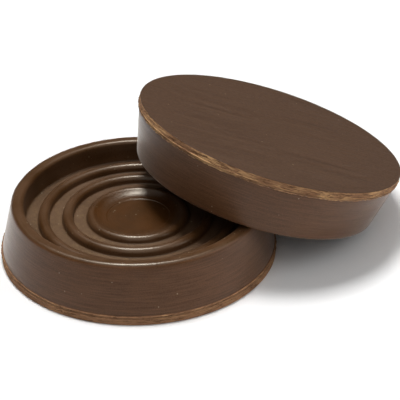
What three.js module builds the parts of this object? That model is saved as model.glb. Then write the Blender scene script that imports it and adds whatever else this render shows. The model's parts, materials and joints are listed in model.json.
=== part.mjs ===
// A pair of rubber caster cups. One stands on its flat underside, mouth up. The other is turned
// over and leans on it: its rim rests on the table at the low end, and on the first cup's rim at
// the two places where the rims cross.
// Millimetres, +Z up. The origin is the centre of the standing cup's underside.

import * as THREE from 'three';

// Seat for the caster wheel, from the axis outwards
const dishRadius = 8.7; // flat floor of the dish
const dishWallRun = 4.05; // width of the hollow wall, out to the crest of the seat ring
const dishDepth = 1.5; // floor of the dish below that crest
const dishHollow = 2.1; // how the wall steepens as it climbs, 1 being a straight cone
const crestTurn = THREE.MathUtils.degToRad(25); // how far the crest's round runs into the dish
const seatShoulder = 1.35; // from the crest out to the side of the seat ring

// Grooves and rings around the seat
const ringCount = 2;
const grooveWidth = 3.7;
const ringWidth = 2.95;
const ringRise = 2.3; // ring tops above the groove floors
const seatRise = 1.95; // seat crest above the groove floors
const ringRound = 1.4;
const rootChamfer = 0.5; // where a side meets a groove floor

// Rim, outer wall and foot
const floorThickness = 9.8; // solid rubber under the grooves
const rimRise = 6.5; // rim above the groove floors
const rimWidth = 3.6;
const rimOuterRound = 1.3;
const rimInnerRound = 1.1;
const wallFlare = 2.9; // foot of the wall wider than the rim
const cutBandHeight = 2.5; // rough band where the moulding was cut from its sheet
const cutBandProud = 0.4; // how far the band stands out from the wall
const cutBandEdge = 0.15; // broken edges of the band

const leastFlat = 0.1; // straight stretch that is kept beside every round

// How the second cup leans
const leanReach = 41.4; // between the centres of the two undersides, along X
const restGap = 0.3; // between the two rims where they cross

const turnSteps = 60; // facets round a cup
const roundSteps = 3; // facets in each rounded edge
const dishSteps = 4; // facets in the dish's hollow wall
const bearingSteps = 180; // places round half of the rim where the gap is measured
const solveSteps = 40; // halvings when the lean is worked out

const quarterTurn = Math.PI / 2;
const seatRadius = dishRadius + dishWallRun + seatShoulder;
const rimInnerRadius = seatRadius + ringCount * (grooveWidth + ringWidth) + grooveWidth;
const rimRadius = rimInnerRadius + rimWidth;
const footRadius = rimRadius + wallFlare;
const baseRadius = footRadius + cutBandProud;

const seatTop = floorThickness + seatRise;
const ringTop = floorThickness + ringRise;
const rimTop = floorThickness + rimRise;
const dishFloor = seatTop - dishDepth;

// Points of a rounded edge about (radius, height), between two angles of the section
function roundedEdge(radius, height, size, startAngle, endAngle) {
  const points = [];
  for (let step = 0; step <= roundSteps; step += 1) {
    const angle = THREE.MathUtils.lerp(startAngle, endAngle, step / roundSteps);
    points.push(new THREE.Vector2(radius + size * Math.cos(angle), height + size * Math.sin(angle)));
  }
  return points;
}

// The flat underside, the cut band and the ledge where the band stands proud of the wall
function footSection() {
  return [
    new THREE.Vector2(0, 0),
    new THREE.Vector2(baseRadius - cutBandEdge, 0),
    new THREE.Vector2(baseRadius, cutBandEdge),
    new THREE.Vector2(baseRadius, cutBandHeight - cutBandEdge),
    new THREE.Vector2(baseRadius - cutBandEdge, cutBandHeight),
    new THREE.Vector2(footRadius, cutBandHeight),
  ];
}

// The rim: a round that takes over from the tapered wall, a flat top and an inner round
function rimSection() {
  const taper = Math.atan(wallFlare / (rimTop - cutBandHeight));
  const largestRound = (rimWidth - leastFlat) / 2;
  const outerRound = Math.min(rimOuterRound, largestRound);
  const innerRound = Math.min(rimInnerRound, largestRound);
  const outerCentre = rimRadius - outerRound;
  const innerCentre = rimInnerRadius + innerRound;
  return [
    ...roundedEdge(outerCentre, rimTop - outerRound, outerRound, taper, quarterTurn),
    ...roundedEdge(innerCentre, rimTop - innerRound, innerRound, quarterTurn, 2 * quarterTurn),
  ];
}

// A groove between two upright sides, with its roots broken
function grooveSection(outerRadius) {
  const root = Math.min(rootChamfer, grooveWidth / 3);
  const innerRadius = outerRadius - grooveWidth;
  return [
    new THREE.Vector2(outerRadius, floorThickness + root),
    new THREE.Vector2(outerRadius - root, floorThickness),
    new THREE.Vector2(innerRadius + root, floorThickness),
    new THREE.Vector2(innerRadius, floorThickness + root),
  ];
}

// A ring with a rounded top
function ringSection(outerRadius) {
  const round = Math.min(ringRound, (ringWidth - leastFlat) / 2, ringRise - rootChamfer - leastFlat);
  const innerRadius = outerRadius - ringWidth;
  return [
    ...roundedEdge(outerRadius - round, ringTop - round, round, 0, quarterTurn),
    ...roundedEdge(innerRadius + round, ringTop - round, round, quarterTurn, 2 * quarterTurn),
  ];
}

// The seat ring's shoulder and crest, then the hollow wall down to the dish's flat floor
function seatSection() {
  const round = Math.min(seatShoulder, seatRise - rootChamfer - leastFlat);
  const points = roundedEdge(seatRadius - round, seatTop - round, round, 0, quarterTurn + crestTurn);
  const top = points[points.length - 1];
  for (let step = 1; step <= dishSteps; step += 1) {
    const share = 1 - step / dishSteps;
    const radius = THREE.MathUtils.lerp(dishRadius, top.x, share);
    points.push(new THREE.Vector2(radius, THREE.MathUtils.lerp(dishFloor, top.y, share ** dishHollow)));
  }
  points.push(new THREE.Vector2(0, dishFloor));
  return points;
}

// Half section of one cup, from the middle of the underside over the rim to the middle of the dish
function cupSection(rim) {
  const points = [...footSection(), ...rim];
  let radius = rimInnerRadius;
  for (let ring = 0; ring < ringCount; ring += 1) {
    points.push(...grooveSection(radius));
    radius -= grooveWidth;
    points.push(...ringSection(radius));
    radius -= ringWidth;
  }
  points.push(...grooveSection(radius), ...seatSection());
  return points;
}

const rimPoints = rimSection();
const section = cupSection(rimPoints);

// Distance from a point to the section, less than nothing where the point is inside the rubber
function clearanceToSection(point) {
  let nearest = Infinity;
  let inside = false;
  for (let index = 1; index < section.length; index += 1) {
    const from = section[index - 1];
    const to = section[index];
    const edge = to.clone().sub(from);
    const share = THREE.MathUtils.clamp(point.clone().sub(from).dot(edge) / edge.lengthSq(), 0, 1);
    nearest = Math.min(nearest, point.distanceTo(edge.clone().multiplyScalar(share).add(from)));
    const spansHeight = from.y > point.y !== to.y > point.y;
    if (spansHeight && point.x < from.x + (edge.x * (point.y - from.y)) / edge.y) {
      inside = !inside;
    }
  }
  return inside ? -nearest : nearest;
}

// Height of the leaning cup's underside at its centre, with its lowest point on the table
function leanHeight(lean) {
  return Math.max(...section.map((point) => point.x * Math.sin(lean) + point.y * Math.cos(lean)));
}

// Where the leaning cup is: turned over, tilted so that its +X side is down
function leanPlacement(lean) {
  const placement = new THREE.Matrix4().makeRotationY(Math.PI + lean);
  return placement.setPosition(leanReach, 0, leanHeight(lean));
}

// Least clearance between the standing rim and the leaning cup
function rimClearance(lean) {
  const toLeaningCup = leanPlacement(lean).invert();
  let least = Infinity;
  for (let step = 0; step <= bearingSteps; step += 1) {
    const bearing = (Math.PI * step) / bearingSteps;
    for (const { x: radius, y: height } of rimPoints) {
      const place = new THREE.Vector3(radius * Math.cos(bearing), radius * Math.sin(bearing), height);
      place.applyMatrix4(toLeaningCup);
      const sectionPoint = new THREE.Vector2(Math.hypot(place.x, place.y), place.z);
      least = Math.min(least, clearanceToSection(sectionPoint));
    }
  }
  return least;
}

// The lean at which the second cup comes to rest on the standing rim
function restingLean() {
  let low = 0;
  let high = quarterTurn / 2;
  for (let step = 0; step < solveSteps; step += 1) {
    const middle = (low + high) / 2;
    if (rimClearance(middle) < restGap) {
      low = middle;
    } else {
      high = middle;
    }
  }
  return high;
}

// One moulded cup, turned from its half section about the Z axis
function mouldedCup(name) {
  const geometry = new THREE.LatheGeometry(section, turnSteps);
  geometry.rotateX(quarterTurn);
  const rubber = new THREE.MeshStandardMaterial({ color: 0x4b372b, roughness: 0.45, metalness: 0 });
  const cup = new THREE.Mesh(geometry, rubber);
  cup.name = name;
  return cup;
}

const pair = new THREE.Group();
pair.add(mouldedCup('standing_cup'));

const leaningCup = mouldedCup('leaning_cup');
leaningCup.applyMatrix4(leanPlacement(restingLean()));
pair.add(leaningCup);

export default pair;
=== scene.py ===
import json
import math

import bpy
from mathutils import Matrix, Vector, noise


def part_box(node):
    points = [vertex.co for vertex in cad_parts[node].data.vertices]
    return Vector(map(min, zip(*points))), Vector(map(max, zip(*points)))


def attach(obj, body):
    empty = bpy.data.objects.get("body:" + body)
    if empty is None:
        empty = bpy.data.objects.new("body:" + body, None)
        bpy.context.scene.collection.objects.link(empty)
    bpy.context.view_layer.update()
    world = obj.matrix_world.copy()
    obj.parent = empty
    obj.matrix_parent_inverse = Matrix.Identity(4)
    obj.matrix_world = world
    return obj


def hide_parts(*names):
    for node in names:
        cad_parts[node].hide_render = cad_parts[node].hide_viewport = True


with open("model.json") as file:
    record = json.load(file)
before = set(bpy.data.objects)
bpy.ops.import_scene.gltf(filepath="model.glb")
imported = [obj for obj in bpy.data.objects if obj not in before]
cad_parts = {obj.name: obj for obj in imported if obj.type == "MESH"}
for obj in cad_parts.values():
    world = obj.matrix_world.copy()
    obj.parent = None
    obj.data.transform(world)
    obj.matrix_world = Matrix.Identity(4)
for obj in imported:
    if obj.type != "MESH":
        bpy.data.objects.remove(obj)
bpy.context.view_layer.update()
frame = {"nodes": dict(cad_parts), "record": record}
mm = 0.001
print("frame loaded:", ", ".join(sorted(frame["nodes"])))


# The camera, as it stood for the photograph
photoView = {
    "imageSide": 400,  # pixels
    "focalLength": 1770.4,  # in the same pixels
    "sensorWidth": 36,
    "clipStart": 0.01,
    "distance": 513.5 * mm,
    "target": (26.25 * mm, 14.89 * mm, 0),  # on the floor
    "elevation": 31.038,  # degrees
    "azimuth": -26.016,
    "roll": -0.67,
}


def makeCamera():
    elevation, azimuth, roll = (math.radians(photoView[name]) for name in ("elevation", "azimuth", "roll"))
    back = Vector((math.sin(azimuth), -math.cos(azimuth), 0)) * math.cos(elevation)
    back.z = math.sin(elevation)
    right = Vector((math.cos(azimuth), math.sin(azimuth), 0))
    turn = Matrix((right, back.cross(right), back)).transposed().to_4x4()
    turn.translation = Vector(photoView["target"]) + back * photoView["distance"]
    lens = bpy.data.cameras.new("photo_camera")
    lens.sensor_width = photoView["sensorWidth"]
    lens.lens = photoView["sensorWidth"] * photoView["focalLength"] / photoView["imageSide"]
    lens.clip_start = photoView["clipStart"]
    camera = bpy.data.objects.new("photo_camera", lens)
    camera.matrix_world = turn @ Matrix.Rotation(roll, 4, "Z")
    bpy.context.collection.objects.link(camera)
    bpy.context.scene.camera = camera


makeCamera()
print("camera placed")


# Small helpers for shader nodes
def wire(tree, value, socket):
    if isinstance(value, bpy.types.NodeSocket):
        tree.links.new(value, socket)
    else:
        socket.default_value = value


def addNode(tree, kind, inputs=None, **settings):
    made = tree.nodes.new(kind)
    for name, value in settings.items():
        setattr(made, name, value)
    for name, value in (inputs or {}).items():
        wire(tree, value, made.inputs[name])
    return made


def maths(tree, operation, first, second=0.0, clamp=False):
    made = addNode(tree, "ShaderNodeMath", {0: first, 1: second}, operation=operation, use_clamp=clamp)
    return made.outputs[0]


def vectorMaths(tree, operation, vector, other=None):
    made = addNode(tree, "ShaderNodeVectorMath", {0: vector}, operation=operation)
    if other is not None:
        wire(tree, other, made.inputs["Scale" if operation == "SCALE" else 1])
    return made.outputs["Value" if operation == "LENGTH" else 0]


# X, Y and Z of a vector, turned back about Z by an angle
def turnedBack(tree, vector, angle):
    inputs = {"Vector": vector, "Angle": angle}
    turned = addNode(tree, "ShaderNodeVectorRotate", inputs, rotation_type="Z_AXIS", invert=True)
    return addNode(tree, "ShaderNodeSeparateXYZ", {0: turned.outputs[0]}).outputs


def remap(tree, value, span, result=(0.0, 1.0)):
    inputs = {0: value, 1: span[0], 2: span[1], 3: result[0], 4: result[1]}
    made = addNode(tree, "ShaderNodeMapRange", inputs)
    made.interpolation_type = "SMOOTHSTEP"
    return made.outputs[0]


# The sum of some values, each times its share
def weigh(tree, values, shares):
    parts = [maths(tree, "MULTIPLY", value, share) for value, share in zip(values, shares)]
    total = parts[0]
    for part in parts[1:]:
        total = maths(tree, "ADD", total, part)
    return total


def mixColour(tree, factor, first, second, blend="MIX"):
    made = addNode(tree, "ShaderNodeMix", data_type="RGBA", blend_type=blend)
    for index, value in ((0, factor), (6, first), (7, second)):
        wire(tree, value, made.inputs[index])
    return made.outputs[2]


# A colour with another laid over it where a mask says, up to a share
def cover(tree, colour, over, mask, share):
    return mixColour(tree, maths(tree, "MULTIPLY", mask, share), colour, over)


def newGroup(name, inputs, outputs):
    group = bpy.data.node_groups.new(name, "ShaderNodeTree")
    for label, value in inputs.items():
        socket = group.interface.new_socket(label, in_out="INPUT", socket_type="NodeSocketFloat")
        socket.default_value = value
    for label in outputs:
        group.interface.new_socket(label, in_out="OUTPUT", socket_type="NodeSocketFloat")
    start = group.nodes.new("NodeGroupInput").outputs
    end = group.nodes.new("NodeGroupOutput").inputs
    return group, start, end


def useGroup(tree, group, **values):
    made = addNode(tree, "ShaderNodeGroup", node_tree=group)
    for label, value in values.items():
        wire(tree, value, made.inputs[label])
    return made.outputs


# Where a point lies on a cup, in millimetres, and which way it lies from the axis
def cupPlace(tree):
    point = addNode(tree, "ShaderNodeTexCoord").outputs["Object"]
    point = vectorMaths(tree, "SCALE", point, 1 / mm)
    flat = vectorMaths(tree, "MULTIPLY", point, (1, 1, 0))
    return {
        "point": point,
        "radius": vectorMaths(tree, "LENGTH", flat),
        "around": vectorMaths(tree, "NORMALIZE", flat),
        "height": addNode(tree, "ShaderNodeSeparateXYZ", {0: point}).outputs["Z"],
    }


def fineNoise(tree, vector, detail, seed, scale=1.0, roughness=0.55):
    inputs = {"Vector": vector, "W": seed, "Scale": scale, "Detail": detail, "Roughness": roughness}
    return addNode(tree, "ShaderNodeTexNoise", inputs, noise_dimensions="4D").outputs[0]


noiseSpan = (0.3, 0.7)  # where most of a noise lies

markPattern = {
    "detail": 2.0,
    "broadDetail": 1.0,
    "broadStretch": (0.5, 0.5, 0.2),
    "broadPace": 0.2,
}


# Fine marks that run round the cup, from the turned mould, and broader ones among them
def makeTurnedMarks():
    group, start, end = newGroup("turned_marks", {"Length": 8, "Width": 0.4, "Seed": 0}, ["Mark", "Broad"])
    place = cupPlace(group)
    runs = maths(group, "DIVIDE", place["radius"], start["Length"])
    along = vectorMaths(group, "SCALE", place["around"], runs)
    across = maths(group, "DIVIDE", place["height"], start["Width"])
    lift = addNode(group, "ShaderNodeCombineXYZ", {"Z": across}).outputs[0]
    spot = vectorMaths(group, "ADD", along, lift)
    inward = maths(group, "ADD", maths(group, "DIVIDE", place["radius"], start["Width"]), start["Seed"])
    wire(group, fineNoise(group, spot, markPattern["detail"], inward), end["Mark"])
    slower = maths(group, "ADD", maths(group, "MULTIPLY", inward, markPattern["broadPace"]), start["Seed"])
    wide = vectorMaths(group, "MULTIPLY", spot, markPattern["broadStretch"])
    wire(group, fineNoise(group, wide, markPattern["broadDetail"], slower), end["Broad"])
    return group


grainPattern = {
    "detail": 3.0,
    "roughness": 0.6,
    "driftScale": 0.11,
}


# The pebbled skin of moulded rubber, and the slow drift of its colour
def makeRubberGrain():
    group, start, end = newGroup("rubber_grain", {"Size": 0.5, "Seed": 0}, ["Grain", "Drift"])
    point, detail, seed = cupPlace(group)["point"], grainPattern["detail"], start["Seed"]
    fine = maths(group, "DIVIDE", 1.0, start["Size"])
    wire(group, fineNoise(group, point, detail, seed, fine, grainPattern["roughness"]), end["Grain"])
    wire(group, fineNoise(group, point, detail, seed, grainPattern["driftScale"]), end["Drift"])
    return group


dustAndLitPattern = {
    "litSideSpan": (-0.2, 0.9),  # from the cleaner side of the cup, painted as shaded, to the dusty one, painted as lit
    "litSideShares": (0.12, 1.0),
    "patchScale": 0.6,
    "patchDetail": 4.0,
    "patchRoughness": 0.7,
    "patchSpan": (0.35, 0.65),
    "gritScale": 1.8,
    "gritDetail": 2.0,
    "gritSpan": (0.35, 0.62),
    "leastCover": 0.15,  # between the patches and between the grits
}


# Dust that settles on a floor at one height, and where that floor is. It lies thicker on one side as
# painted light: the floors come out lighter on the lit side and darker on the shaded one
def makeSettledDust():
    inputs = {"Level": 9.8, "Depth": 0.8, "Side": 0, "Seed": 0}
    group, start, end = newGroup("dust_and_lit_side", inputs, ["Dust", "Floor"])
    place, seed, look = cupPlace(group), start["Seed"], dustAndLitPattern
    above = maths(group, "ABSOLUTE", maths(group, "SUBTRACT", place["height"], start["Level"]))
    floor = remap(group, maths(group, "DIVIDE", above, start["Depth"]), (0.0, 1.0), (1.0, 0.0))
    wire(group, floor, end["Floor"])
    towards = turnedBack(group, place["around"], start["Side"])["X"]
    dustAndLit = maths(group, "MULTIPLY", floor, remap(group, towards, look["litSideSpan"], look["litSideShares"]))
    patches = fineNoise(
        group, place["point"], look["patchDetail"], seed, look["patchScale"], look["patchRoughness"])
    grits = fineNoise(group, place["point"], look["gritDetail"], seed, look["gritScale"])
    for texture, span in ((patches, look["patchSpan"]), (grits, look["gritSpan"])):
        dustAndLit = maths(group, "MULTIPLY", dustAndLit, remap(group, texture, span, (look["leastCover"], 1.0)))
    wire(group, dustAndLit, end["Dust"])
    return group


speckEdge = (0.6, 1.0)  # where a speck fades out, as shares of its size


# Loose pale specks of grit
def makeSpecks():
    group, start, end = newGroup("specks", {"Spacing": 3.0, "Size": 0.1, "Seed": 0}, ["Speck"])
    point = cupPlace(group)["point"]
    inputs = {"Vector": point, "W": start["Seed"], "Scale": maths(group, "DIVIDE", 1.0, start["Spacing"])}
    cells = addNode(group, "ShaderNodeTexVoronoi", inputs, voronoi_dimensions="4D")
    reach = maths(group, "DIVIDE", start["Size"], start["Spacing"])
    share = maths(group, "DIVIDE", cells.outputs["Distance"], reach)
    wire(group, remap(group, share, speckEdge, (1.0, 0.0)), end["Speck"])
    return group


tornPattern = {
    "scale": 0.45,
    "detail": 4.0,
    "roughness": 0.7,
    "middle": 0.5,  # of the noise
    "reach": 4,
    "edge": (-0.08, 0.12),
}


# The ragged line where the trimmed band stops
def makeTornEdge():
    group, start, end = newGroup("torn_edge", {"Edge": 2.3, "Ragged": 0.4, "Seed": 0}, ["Torn"])
    place, look = cupPlace(group), tornPattern
    wide = fineNoise(group, place["point"], look["detail"], start["Seed"], look["scale"], look["roughness"])
    reach = maths(group, "MULTIPLY", start["Ragged"], look["reach"])
    stray = maths(group, "MULTIPLY", maths(group, "SUBTRACT", wide, look["middle"]), reach)
    above = maths(group, "SUBTRACT", maths(group, "SUBTRACT", place["height"], start["Edge"]), stray)
    wire(group, remap(group, above, look["edge"], (1.0, 0.0)), end["Torn"])
    return group


sandPattern = {
    "detail": 1.5,
    "roughness": 0.6,
    "scratchStretch": (1.6, 0.8, 1),
    "scratchDetail": 1.0,
    "scratchSpan": (0.64, 0.72),
}


# Straight parallel lines left by sanding, and a few deeper scratches among them
def makeSandedLines():
    inputs = {"Heading": 0.45, "Length": 20, "Width": 0.8, "Seed": 0}
    group, start, end = newGroup("sanded_lines", inputs, ["Line", "Scratch"])
    seed, look = start["Seed"], sandPattern
    turned = turnedBack(group, cupPlace(group)["point"], start["Heading"])
    along = maths(group, "DIVIDE", turned["X"], start["Length"])
    across = maths(group, "DIVIDE", turned["Y"], start["Width"])
    spot = addNode(group, "ShaderNodeCombineXYZ", {"X": along, "Y": across}).outputs[0]
    wire(group, fineNoise(group, spot, look["detail"], seed, 1.0, look["roughness"]), end["Line"])
    shorter = vectorMaths(group, "MULTIPLY", spot, look["scratchStretch"])
    scratches = fineNoise(group, shorter, look["scratchDetail"], seed)
    wire(group, remap(group, scratches, look["scratchSpan"]), end["Scratch"])
    return group


turnedMarks = makeTurnedMarks()
rubberGrain = makeRubberGrain()
settledDust = makeSettledDust()
specks = makeSpecks()
tornEdge = makeTornEdge()
sandedLines = makeSandedLines()
print("finishes ready:", len(bpy.data.node_groups))


def newMaterial(name, specular):
    material = bpy.data.materials.new(name)
    material.use_nodes = True
    shader = material.node_tree.nodes["Principled BSDF"]
    shader.inputs["Specular IOR Level"].default_value = specular
    return material, shader


# Bumps laid one on another, each with its depth in millimetres
def addBump(tree, shader, heights):
    normal = None
    for height, depth in heights:
        inputs = {"Height": height, "Distance": depth * mm}
        if normal is not None:
            inputs["Normal"] = normal
        normal = addNode(tree, "ShaderNodeBump", inputs).outputs[0]
    wire(tree, normal, shader.inputs["Normal"])


# What more than one finish uses; colours are linear
rubber = {
    "deep": (0.055, 0.021, 0.004, 1),
    "cutTan": (0.365, 0.185, 0.090, 1),
    "speck": (0.42, 0.33, 0.22, 1),
    "dullSpecular": 0.27,
}

wallLook = {
    "bloom": (0.166, 0.073, 0.032, 1),
    "sheen": 0.38,
    "sheenRoughness": 0.35,
    "sheenTint": (1.0, 0.92, 0.84, 1),
    "marks": {"Length": 8.0, "Width": 0.3},
    "grain": {"Size": 0.3},
    "torn": {"Edge": 2.55, "Ragged": 0.15},
    "specks": {"Spacing": 2.2, "Size": 0.26},
    "toneShares": (0.6, 0.5, 0.2),  # of the marks, the grain and the drift
    "toneSpan": (0.28, 1.02),
    "tornCover": 0.6,
    "speckCover": 0.5,
    "roughness": (0.29, 0.35),
    "tornDull": 0.4,
    "markDepth": 0.008,
    "grainDepth": 0.035,
}


# The tapered outer wall
def wallFinish(seed):
    look = wallLook
    material, shader = newMaterial("moulded_wall", rubber["dullSpecular"])
    shader.inputs["Sheen Weight"].default_value = look["sheen"]
    shader.inputs["Sheen Roughness"].default_value = look["sheenRoughness"]
    shader.inputs["Sheen Tint"].default_value = look["sheenTint"]
    tree = material.node_tree
    marks = useGroup(tree, turnedMarks, Seed=seed, **look["marks"])
    grain = useGroup(tree, rubberGrain, Seed=seed, **look["grain"])
    torn = useGroup(tree, tornEdge, Seed=seed, **look["torn"])["Torn"]
    speck = useGroup(tree, specks, Seed=seed, **look["specks"])["Speck"]
    mixed = weigh(tree, (marks["Mark"], grain["Grain"], grain["Drift"]), look["toneShares"])
    colour = mixColour(tree, remap(tree, mixed, look["toneSpan"]), rubber["deep"], look["bloom"])
    colour = cover(tree, colour, rubber["cutTan"], torn, look["tornCover"])
    colour = cover(tree, colour, rubber["speck"], speck, look["speckCover"])
    wire(tree, colour, shader.inputs["Base Color"])
    smooth = remap(tree, marks["Broad"], noiseSpan, look["roughness"])
    dull = maths(tree, "MULTIPLY", torn, look["tornDull"])
    wire(tree, maths(tree, "ADD", smooth, dull), shader.inputs["Roughness"])
    addBump(tree, shader, ((marks["Mark"], look["markDepth"]), (grain["Grain"], look["grainDepth"])))
    return material


insideLook = {
    "brown": (0.086, 0.030, 0.005, 1),
    "handled": (0.106, 0.056, 0.028, 1),
    "dustAndLitColour": (0.150, 0.083, 0.033, 1),
    "specular": 0.7,
    "specularTint": (1.0, 0.92, 0.78, 1),
    "marks": {"Length": 10.0, "Width": 0.5},
    "grain": {"Size": 0.5},
    # the side whose groove floors get more dust, painted lighter as the lit side
    "dustAndLitPlace": {"Depth": 0.3, "Side": math.radians(199)},
    "specks": {"Spacing": 1.6, "Size": 0.28},
    "toneShares": (0.4, 0.4, 1.0),  # of the marks, the grain and the drift
    "toneSpan": (0.62, 1.12),
    "outerToneSpan": (11.6, 12.9),  # radius at which the paler outer colour sets in
    "handledCover": 0.75,
    "dustAndLitCover": 0.9,
    "speckCover": 0.5,
    "roughness": (0.27, 0.37),
    "slantSpan": (0.4, 0.8),
    "slantDull": 0.2,
    "floorDull": 0.45,
    "markDepth": 0.01,
    "grainDepth": 0.03,
}


# Rim, rings and dish
def insideFinish(seed):
    look = insideLook
    material, shader = newMaterial("moulded_inside", look["specular"])
    shader.inputs["Specular Tint"].default_value = look["specularTint"]
    tree = material.node_tree
    marks = useGroup(tree, turnedMarks, Seed=seed, **look["marks"])
    grain = useGroup(tree, rubberGrain, Seed=seed, **look["grain"])
    dustAndLitOutputs = useGroup(tree, settledDust, Seed=seed, Level=cup["floorThickness"], **look["dustAndLitPlace"])
    speck = useGroup(tree, specks, Seed=seed, **look["specks"])["Speck"]
    handled = remap(tree, cupPlace(tree)["radius"], look["outerToneSpan"], (0.0, look["handledCover"]))
    mixed = weigh(tree, (marks["Mark"], grain["Grain"], grain["Drift"]), look["toneShares"])
    tone = remap(tree, mixed, look["toneSpan"])
    colour = mixColour(tree, tone, rubber["deep"], look["brown"])
    # a paler colour on the rim, rings and grooves, outside the dish
    colour = cover(tree, colour, look["handled"], tone, handled)
    # dust on the groove floors: partly real dust, partly painted light, thicker on the lit side
    colour = cover(tree, colour, look["dustAndLitColour"], dustAndLitOutputs["Dust"], look["dustAndLitCover"])
    colour = cover(tree, colour, rubber["speck"], speck, look["speckCover"])
    wire(tree, colour, shader.inputs["Base Color"])
    smooth = remap(tree, grain["Grain"], noiseSpan, look["roughness"])
    facing = addNode(tree, "ShaderNodeLayerWeight").outputs["Facing"]
    slanted = remap(tree, facing, look["slantSpan"], (0.0, look["slantDull"]))  # duller at a slant
    dull = maths(tree, "ADD", slanted, maths(tree, "MULTIPLY", dustAndLitOutputs["Floor"], look["floorDull"]))
    wire(tree, maths(tree, "ADD", smooth, dull, clamp=True), shader.inputs["Roughness"])
    addBump(tree, shader, ((marks["Mark"], look["markDepth"]), (grain["Grain"], look["grainDepth"])))
    return material


bandLook = {
    "pale": (0.78, 0.46, 0.21, 1),
    "dark": (0.150, 0.068, 0.028, 1),
    "fibres": {"Length": 3.0, "Width": 0.28},
    "grain": {"Size": 0.45},
    "tuftSpan": (0.92, 1.25),
    "darkSpan": (0.5, 0.32),
    # painted light by height: painted highlights on the ridge and on the lip, painted shade in the creases
    # between them, and the foot painted lighter where the floor's shadow falls
    "paintedLightByHeight": ((0, 1), (0.5, 0.75), (1.45, 0.7), (1.7, 0.9), (1.9, 0.6), (2.3, 0.52), (2.44, 1)),
    "roughness": (0.7, 0.95),
    "fibreDepth": 0.12,
    "grainDepth": 0.06,
}


# Painted light and shade on the band, as a factor that changes with the height on the band
def paintedBandLight(tree):
    share = maths(tree, "DIVIDE", cupPlace(tree)["height"], cup["bandHeight"])
    ramp = addNode(tree, "ShaderNodeValToRGB", {0: share})
    stops = ramp.color_ramp.elements
    while len(stops) < len(bandLook["paintedLightByHeight"]):
        stops.new(1.0)
    for stop, (level, tone) in zip(stops, bandLook["paintedLightByHeight"]):
        stop.position = level / cup["bandHeight"]
        stop.color = (tone, tone, tone, 1)
    return ramp.outputs[0]


# The trimmed band at the foot
def bandFinish(seed, frayed):
    look = bandLook
    material, shader = newMaterial("cut_band", rubber["dullSpecular"])
    tree = material.node_tree
    fibres = useGroup(tree, turnedMarks, Seed=seed, **look["fibres"])
    grain = useGroup(tree, rubberGrain, Seed=seed, **look["grain"])
    tufts = remap(tree, maths(tree, "ADD", fibres["Mark"], grain["Drift"]), look["tuftSpan"])
    colour = cover(tree, rubber["cutTan"], look["pale"], tufts, frayed)
    colour = mixColour(tree, remap(tree, fibres["Mark"], look["darkSpan"]), colour, look["dark"])
    # the band's colour darkened and lightened by its painted light and shade
    colour = mixColour(tree, 1.0, colour, paintedBandLight(tree), "MULTIPLY")
    wire(tree, colour, shader.inputs["Base Color"])
    wire(tree, remap(tree, grain["Grain"], noiseSpan, look["roughness"]), shader.inputs["Roughness"])
    addBump(tree, shader, ((fibres["Mark"], look["fibreDepth"]), (grain["Grain"], look["grainDepth"])))
    return material


baseLook = {
    "dark": (0.060, 0.029, 0.0145, 1),
    "pale": (0.091, 0.048, 0.026, 1),
    "lines": {"Heading": math.radians(27), "Length": 30.0, "Width": 0.55},
    "grain": {"Size": 0.7},
    "specks": {"Spacing": 2.4, "Size": 0.28},
    "toneShares": (1.0, 0.9),  # of the lines and the grain
    "toneSpan": (0.7, 1.16),
    "scratchCover": 0.2,
    "speckCover": 0.35,
    "roughness": (0.55, 0.7),
    "lineDepth": 0.07,
    "grainDepth": 0.03,
}


# The flat underside, sanded level
def baseFinish(seed):
    look = baseLook
    material, shader = newMaterial("sanded_base", rubber["dullSpecular"])
    tree = material.node_tree
    lines = useGroup(tree, sandedLines, Seed=seed, **look["lines"])
    grain = useGroup(tree, rubberGrain, Seed=seed, **look["grain"])
    speck = useGroup(tree, specks, Seed=seed, **look["specks"])["Speck"]
    mixed = weigh(tree, (lines["Line"], grain["Grain"]), look["toneShares"])
    colour = mixColour(tree, remap(tree, mixed, look["toneSpan"]), look["dark"], look["pale"])
    colour = cover(tree, colour, look["dark"], lines["Scratch"], look["scratchCover"])
    colour = cover(tree, colour, rubber["speck"], speck, look["speckCover"])
    wire(tree, colour, shader.inputs["Base Color"])
    wire(tree, remap(tree, lines["Line"], noiseSpan, look["roughness"]), shader.inputs["Roughness"])
    addBump(tree, shader, ((lines["Line"], look["lineDepth"]), (grain["Grain"], look["grainDepth"])))
    return material


# One cup, in millimetres, about its own axis with its underside at zero
cup = {
    "dishRadius": 8.7,
    "dishDepth": 1.5,
    "dishHollow": 2.1,
    "dishStep": 0.18,  # witness line round the floor of the dish
    "stepEdge": ((0.1, 1), (0.03, 0.85), (-0.07, 0.1), (-0.15, 0)),  # past the radius, share of the step
    "crestTurn": 25,  # degrees
    "seatShoulder": 1.35,
    "ringCount": 2,
    "grooveWidth": 3.7,
    "ringWidth": 2.95,
    "ringRise": 2.3,
    "seatRise": 1.95,
    "ringRound": 1.4,
    "rootRound": 0.5,
    "floorThickness": 9.8,
    "rimWidth": 3.6,
    "rimOuterRound": 1.3,
    "rimInnerRound": 1.1,
    "wallFlare": 2.9,
    "wallCrease": 0.06,  # where the wall meets the band
    "creaseHeight": 0.25,
    "bandHeight": 2.5,
    "bandProud": 0.4,
    "baseRound": 0.22,
    "bandRidge": 1.7,  # height of the ridge round the band
    "ridgeFoot": 0.25,  # how far below the ridge the straight rows of the band stop
    "ridgeProud": 0.12,
    "lipRound": 0.1,  # top edge of the band
    "lipSunk": 0.05,
}

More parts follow.
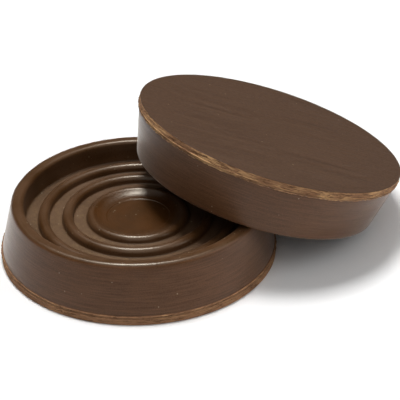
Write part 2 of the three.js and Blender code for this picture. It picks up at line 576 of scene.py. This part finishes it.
# How finely the section is cut
fineness = {
    "turn": 480,  # round the axis
    "round": 7,
    "wallRound": 4,  # points of the rim's outer round that keep the wall's finish
    "root": 4,
    "flat": 3,
    "side": 4,
    "wall": 12,
    "crest": 9,
    "dish": 12,
    "baseEdge": 3,
    "band": 7,
    "ridge": 4,
    "lip": 2,
    "baseShares": (0, 0.3, 0.6, 0.85, 0.95, 0.98),  # of the radius of the underside
    "dishShares": (0.9, 0.6, 0.3, 0),  # of the radius of the dish floor
}


# Points of a round about (radius, height), between two angles in degrees
def arc(radius, height, size, startAngle, endAngle, steps):
    points = []
    for step in range(steps + 1):
        angle = math.radians(startAngle + (endAngle - startAngle) * step / steps)
        points.append((radius + size * math.cos(angle), height + size * math.sin(angle)))
    return points


# Points on a straight stretch, without its two ends
def run(start, end, steps):
    points = []
    for step in range(1, steps):
        points.append(tuple(first + (last - first) * step / steps for first, last in zip(start, end)))
    return points


# Half section in zones, from the middle of the underside over the rim to the middle of the dish
def cupSection(baseRadius, rimTop):
    footRadius = baseRadius - cup["bandProud"]
    rimRadius = footRadius - cup["wallFlare"]
    base, band = footSection(baseRadius)
    height, crease = cup["bandHeight"], cup["wallCrease"]
    wall = [(footRadius, height), (footRadius - crease, height + crease)]
    wall.append((footRadius - crease, height + cup["creaseHeight"]))

    size, kept = cup["rimOuterRound"], fineness["wallRound"]
    taper = math.degrees(math.atan(cup["wallFlare"] / (rimTop - height)))
    outerRound = arc(rimRadius - size, rimTop - size, size, taper, 90, fineness["round"])
    wall += run(wall[-1], outerRound[0], fineness["wall"]) + outerRound[:kept]
    inside = outerRound[kept:]

    size, radius = cup["rimInnerRound"], rimRadius - cup["rimWidth"]
    inside += run(inside[-1], (radius + size, rimTop), fineness["flat"])
    inside += arc(radius + size, rimTop - size, size, 90, 180, fineness["round"])
    inside += run(inside[-1], (radius, cup["floorThickness"] + cup["rootRound"]), fineness["side"])
    for ring in range(cup["ringCount"]):
        inside += grooveSection(radius)
        radius -= cup["grooveWidth"]
        inside += ringSection(radius)
        radius -= cup["ringWidth"]
    inside += grooveSection(radius)
    inside += seatSection(radius - cup["grooveWidth"])
    return {"base": base, "band": band, "wall": wall, "inside": inside}


# The flat underside with its broken edge, and the trimmed band with its ridge and its lip
def footSection(baseRadius):
    edge, ridge, lip = cup["baseRound"], cup["bandRidge"], cup["lipRound"]
    base = [(baseRadius * share, 0) for share in fineness["baseShares"]]
    base += arc(baseRadius - edge, edge, edge, -90, -30, fineness["baseEdge"])

    lipRadius, lipHeight = baseRadius - cup["lipSunk"], cup["bandHeight"] - lip
    band = arc(baseRadius - edge, edge, edge, -10, 0, 1)
    band += run((baseRadius, edge), (baseRadius, ridge - cup["ridgeFoot"]), fineness["band"])
    band += arc(baseRadius, ridge, cup["ridgeProud"], -90, 90, fineness["ridge"])
    band += run(band[-1], (lipRadius, lipHeight), fineness["side"])
    band += arc(lipRadius - lip, lipHeight, lip, 0, 90, fineness["lip"])
    return base, band


def grooveSection(outer):
    root, floor = cup["rootRound"], cup["floorThickness"]
    inner = outer - cup["grooveWidth"]
    points = arc(outer - root, floor + root, root, 0, -90, fineness["root"])
    points += run(points[-1], (inner + root, floor), fineness["flat"])
    return points + arc(inner + root, floor + root, root, 270, 180, fineness["root"])


def ringSection(outer):
    size = cup["ringRound"]
    top = cup["floorThickness"] + cup["ringRise"]
    inner = outer - cup["ringWidth"]
    points = arc(outer - size, top - size, size, 0, 90, fineness["round"])
    points += run(points[-1], (inner + size, top), fineness["flat"])
    return points + arc(inner + size, top - size, size, 90, 180, fineness["round"])


# The seat ring's shoulder and crest, the hollow wall of the dish, its witness line and its floor
def seatSection(outer):
    size, dishRadius, dishStep = cup["seatShoulder"], cup["dishRadius"], cup["dishStep"]
    top = cup["floorThickness"] + cup["seatRise"]
    floor = top - cup["dishDepth"]
    points = arc(outer - size, top - size, size, 0, 90 + cup["crestTurn"], fineness["crest"])
    crestRadius, crestHeight = points[-1]
    rise = crestHeight - floor - dishStep
    for step in range(1, fineness["dish"]):
        share = 1 - step / fineness["dish"]
        radius = dishRadius + (crestRadius - dishRadius) * share
        points.append((radius, floor + dishStep + rise * share ** cup["dishHollow"]))
    points += [(dishRadius + past, floor + dishStep * share) for past, share in cup["stepEdge"]]
    return points + [(dishRadius * share, floor) for share in fineness["dishShares"]]


# How the surface departs from a perfect turning, in millimetres; turns are the noise's scale round the cup
uneven = {
    "wallWave": 0.04,
    "waveTurns": 3,
    "waveRise": 0.08,
    "bandRough": 0.16,
    "roughTurns": 60,
    "roughRise": 2.6,
    "roughOctaves": 4,
    "roughFull": 0.3,  # height at which the band is fully rough
    "bandRagged": 0.28,
    "raggedTurns": 34,
    "raggedOctaves": 3,
    "raggedFrom": 1.0,  # height above which the band's edge strays
    "bandSunk": 0.05,
    "octaveFall": 1.0,
    "octaveGap": 2.0,
}


# A point of the section at one angle, with its small departures from a perfect turning
def settlePoint(zone, radius, height, angle, seed):
    if zone == "base":
        return radius, height
    around = Vector((math.cos(angle), math.sin(angle), 0))
    fall, gap = uneven["octaveFall"], uneven["octaveGap"]
    spot = around * uneven["waveTurns"] + Vector((0, 0, height * uneven["waveRise"] + seed))
    wave = noise.noise(spot) * uneven["wallWave"]
    if zone != "band":
        return radius + wave, height
    spot = around * uneven["roughTurns"] + Vector((seed, seed, height * uneven["roughRise"]))
    rough = noise.fractal(spot, fall, gap, uneven["roughOctaves"]) * uneven["bandRough"]
    rough *= min(1, height / uneven["roughFull"])
    spot = around * uneven["raggedTurns"] + Vector((0, seed, 0))
    ragged = noise.fractal(spot, fall, gap, uneven["raggedOctaves"]) * uneven["bandRagged"]
    ragged *= max(0, (height - uneven["raggedFrom"]) / (cup["bandHeight"] - uneven["raggedFrom"]))
    return radius + wave + rough - uneven["bandSunk"], height + ragged


# Points and faces of the section turned about the axis, and the number of each face's zone
def turnSection(zones, seed):
    steps = fineness["turn"]
    rows = [(zone, *point) for zone, points in zones.items() for point in points]
    places, indexes = [], []
    for zone, radius, height in rows:
        if radius == 0:
            indexes.append([len(places)] * steps)
            places.append((0, 0, height * mm))
            continue
        indexes.append(range(len(places), len(places) + steps))
        for step in range(steps):
            angle = 2 * math.pi * step / steps
            settledRadius, settledHeight = settlePoint(zone, radius, height, angle, seed)
            reach = settledRadius * mm
            places.append((reach * math.cos(angle), reach * math.sin(angle), settledHeight * mm))

    faces, finishes = [], []
    numbers = {zone: number for number, zone in enumerate(zones)}
    for lower, upper, row in zip(indexes, indexes[1:], rows[1:]):
        for step in range(steps):
            after = (step + 1) % steps
            corners = (lower[step], lower[after], upper[after], upper[step])
            faces.append(list(dict.fromkeys(corners)))  # a triangle where a row is one point
            finishes.append(numbers[row[0]])
    return places, faces, finishes


def makeCup(node, body, place, seed, frayed):
    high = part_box("standing_cup")[1]
    places, faces, finishes = turnSection(cupSection(high.x / mm, high.z / mm), seed)
    mesh = bpy.data.meshes.new(node)
    mesh.from_pydata(places, [], faces)
    mesh.polygons.foreach_set("material_index", finishes)
    mesh.shade_smooth()
    mesh.update()
    for finish in (baseFinish(seed), bandFinish(seed, frayed), wallFinish(seed), insideFinish(seed)):
        mesh.materials.append(finish)
    piece = bpy.data.objects.new(node + "_moulding", mesh)
    piece.matrix_world = place
    bpy.context.collection.objects.link(piece)
    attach(piece, body)
    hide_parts(node)
    print(piece.name, "has", len(faces), "faces")


# The leaning cup is turned over, with its underside at the mount that the record gives
def leaningPlace():
    mounts = frame["record"]["mounts"]
    mount = next(face for face in mounts if face["name"] == "leaning_cup_floor_face")
    up = -Vector(mount["axis"])
    side = Vector((0, 1, 0))
    turn = Matrix((side.cross(up), side, up)).transposed().to_4x4()
    turn.translation = Vector(mount["pos_m"])
    return turn


makeCup("standing_cup", "standing", Matrix.Identity(4), seed=3.0, frayed=0.35)
makeCup("leaning_cup", "leaning", leaningPlace(), seed=8.0, frayed=1.0)


# A plain studio: a white floor, a soft lamp a little behind, a broad panel above, dimmer panels in
# front and to the right, and a dim room. A lamp tilts towards the camera, then swings to its right.
studio = {
    "middle": (20 * mm, 0, 10 * mm),  # what the lamps face
    "floorSide": 8.0,
    "floorColour": (0.98, 0.98, 0.98, 1),
    "floorRoughness": 0.9,
    "room": 0.03,
    "lamps": {
        "softbox": {"distance": 0.6, "tilt": -10.3, "swing": 29, "size": (0.18, 0.165), "power": 2.75},
        "ceiling_panel": {"distance": 1.0, "tilt": 0, "swing": 0, "size": (1.4, 1.4), "power": 3.8},
        "front_panel": {"distance": 1.2, "tilt": 52, "swing": 0, "size": (1.0, 0.8), "power": 1.6},
        "side_panel": {"distance": 1.2, "tilt": 62, "swing": 80, "size": (0.8, 0.8), "power": 3.4},
    },
}


def makeFloor():
    half = studio["floorSide"] / 2
    corners = [(-half, -half, 0), (half, -half, 0), (half, half, 0), (-half, half, 0)]
    mesh = bpy.data.meshes.new("floor")
    mesh.from_pydata(corners, [], [(0, 1, 2, 3)])
    floor = bpy.data.objects.new("floor", mesh)
    bpy.context.collection.objects.link(floor)
    material, shader = newMaterial("white_floor", 0.0)
    shader.inputs["Base Color"].default_value = studio["floorColour"]
    shader.inputs["Roughness"].default_value = studio["floorRoughness"]
    mesh.materials.append(material)


def makeLights():
    world = bpy.data.worlds.new("dim_room")
    world.use_nodes = True
    background = world.node_tree.nodes["Background"].inputs
    background["Color"].default_value = (1, 1, 1, 1)
    background["Strength"].default_value = studio["room"]
    bpy.context.scene.world = world
    facing = Matrix.Rotation(math.radians(photoView["azimuth"]), 4, "Z")
    facing = Matrix.Translation(studio["middle"]) @ facing
    for name, setting in studio["lamps"].items():
        lamp = bpy.data.lights.new(name, "AREA")
        lamp.shape = "RECTANGLE"
        lamp.size, lamp.size_y = setting["size"]
        lamp.energy = setting["power"]
        holder = bpy.data.objects.new(name, lamp)
        turn = Matrix.Rotation(math.radians(setting["swing"]), 4, "Z")
        turn = turn @ Matrix.Rotation(math.radians(setting["tilt"]), 4, "X")
        holder.matrix_world = facing @ turn @ Matrix.Translation((0, 0, setting["distance"]))
        bpy.context.collection.objects.link(holder)


makeFloor()
makeLights()
bpy.context.scene.view_settings.view_transform = "Standard"
print("studio lit")
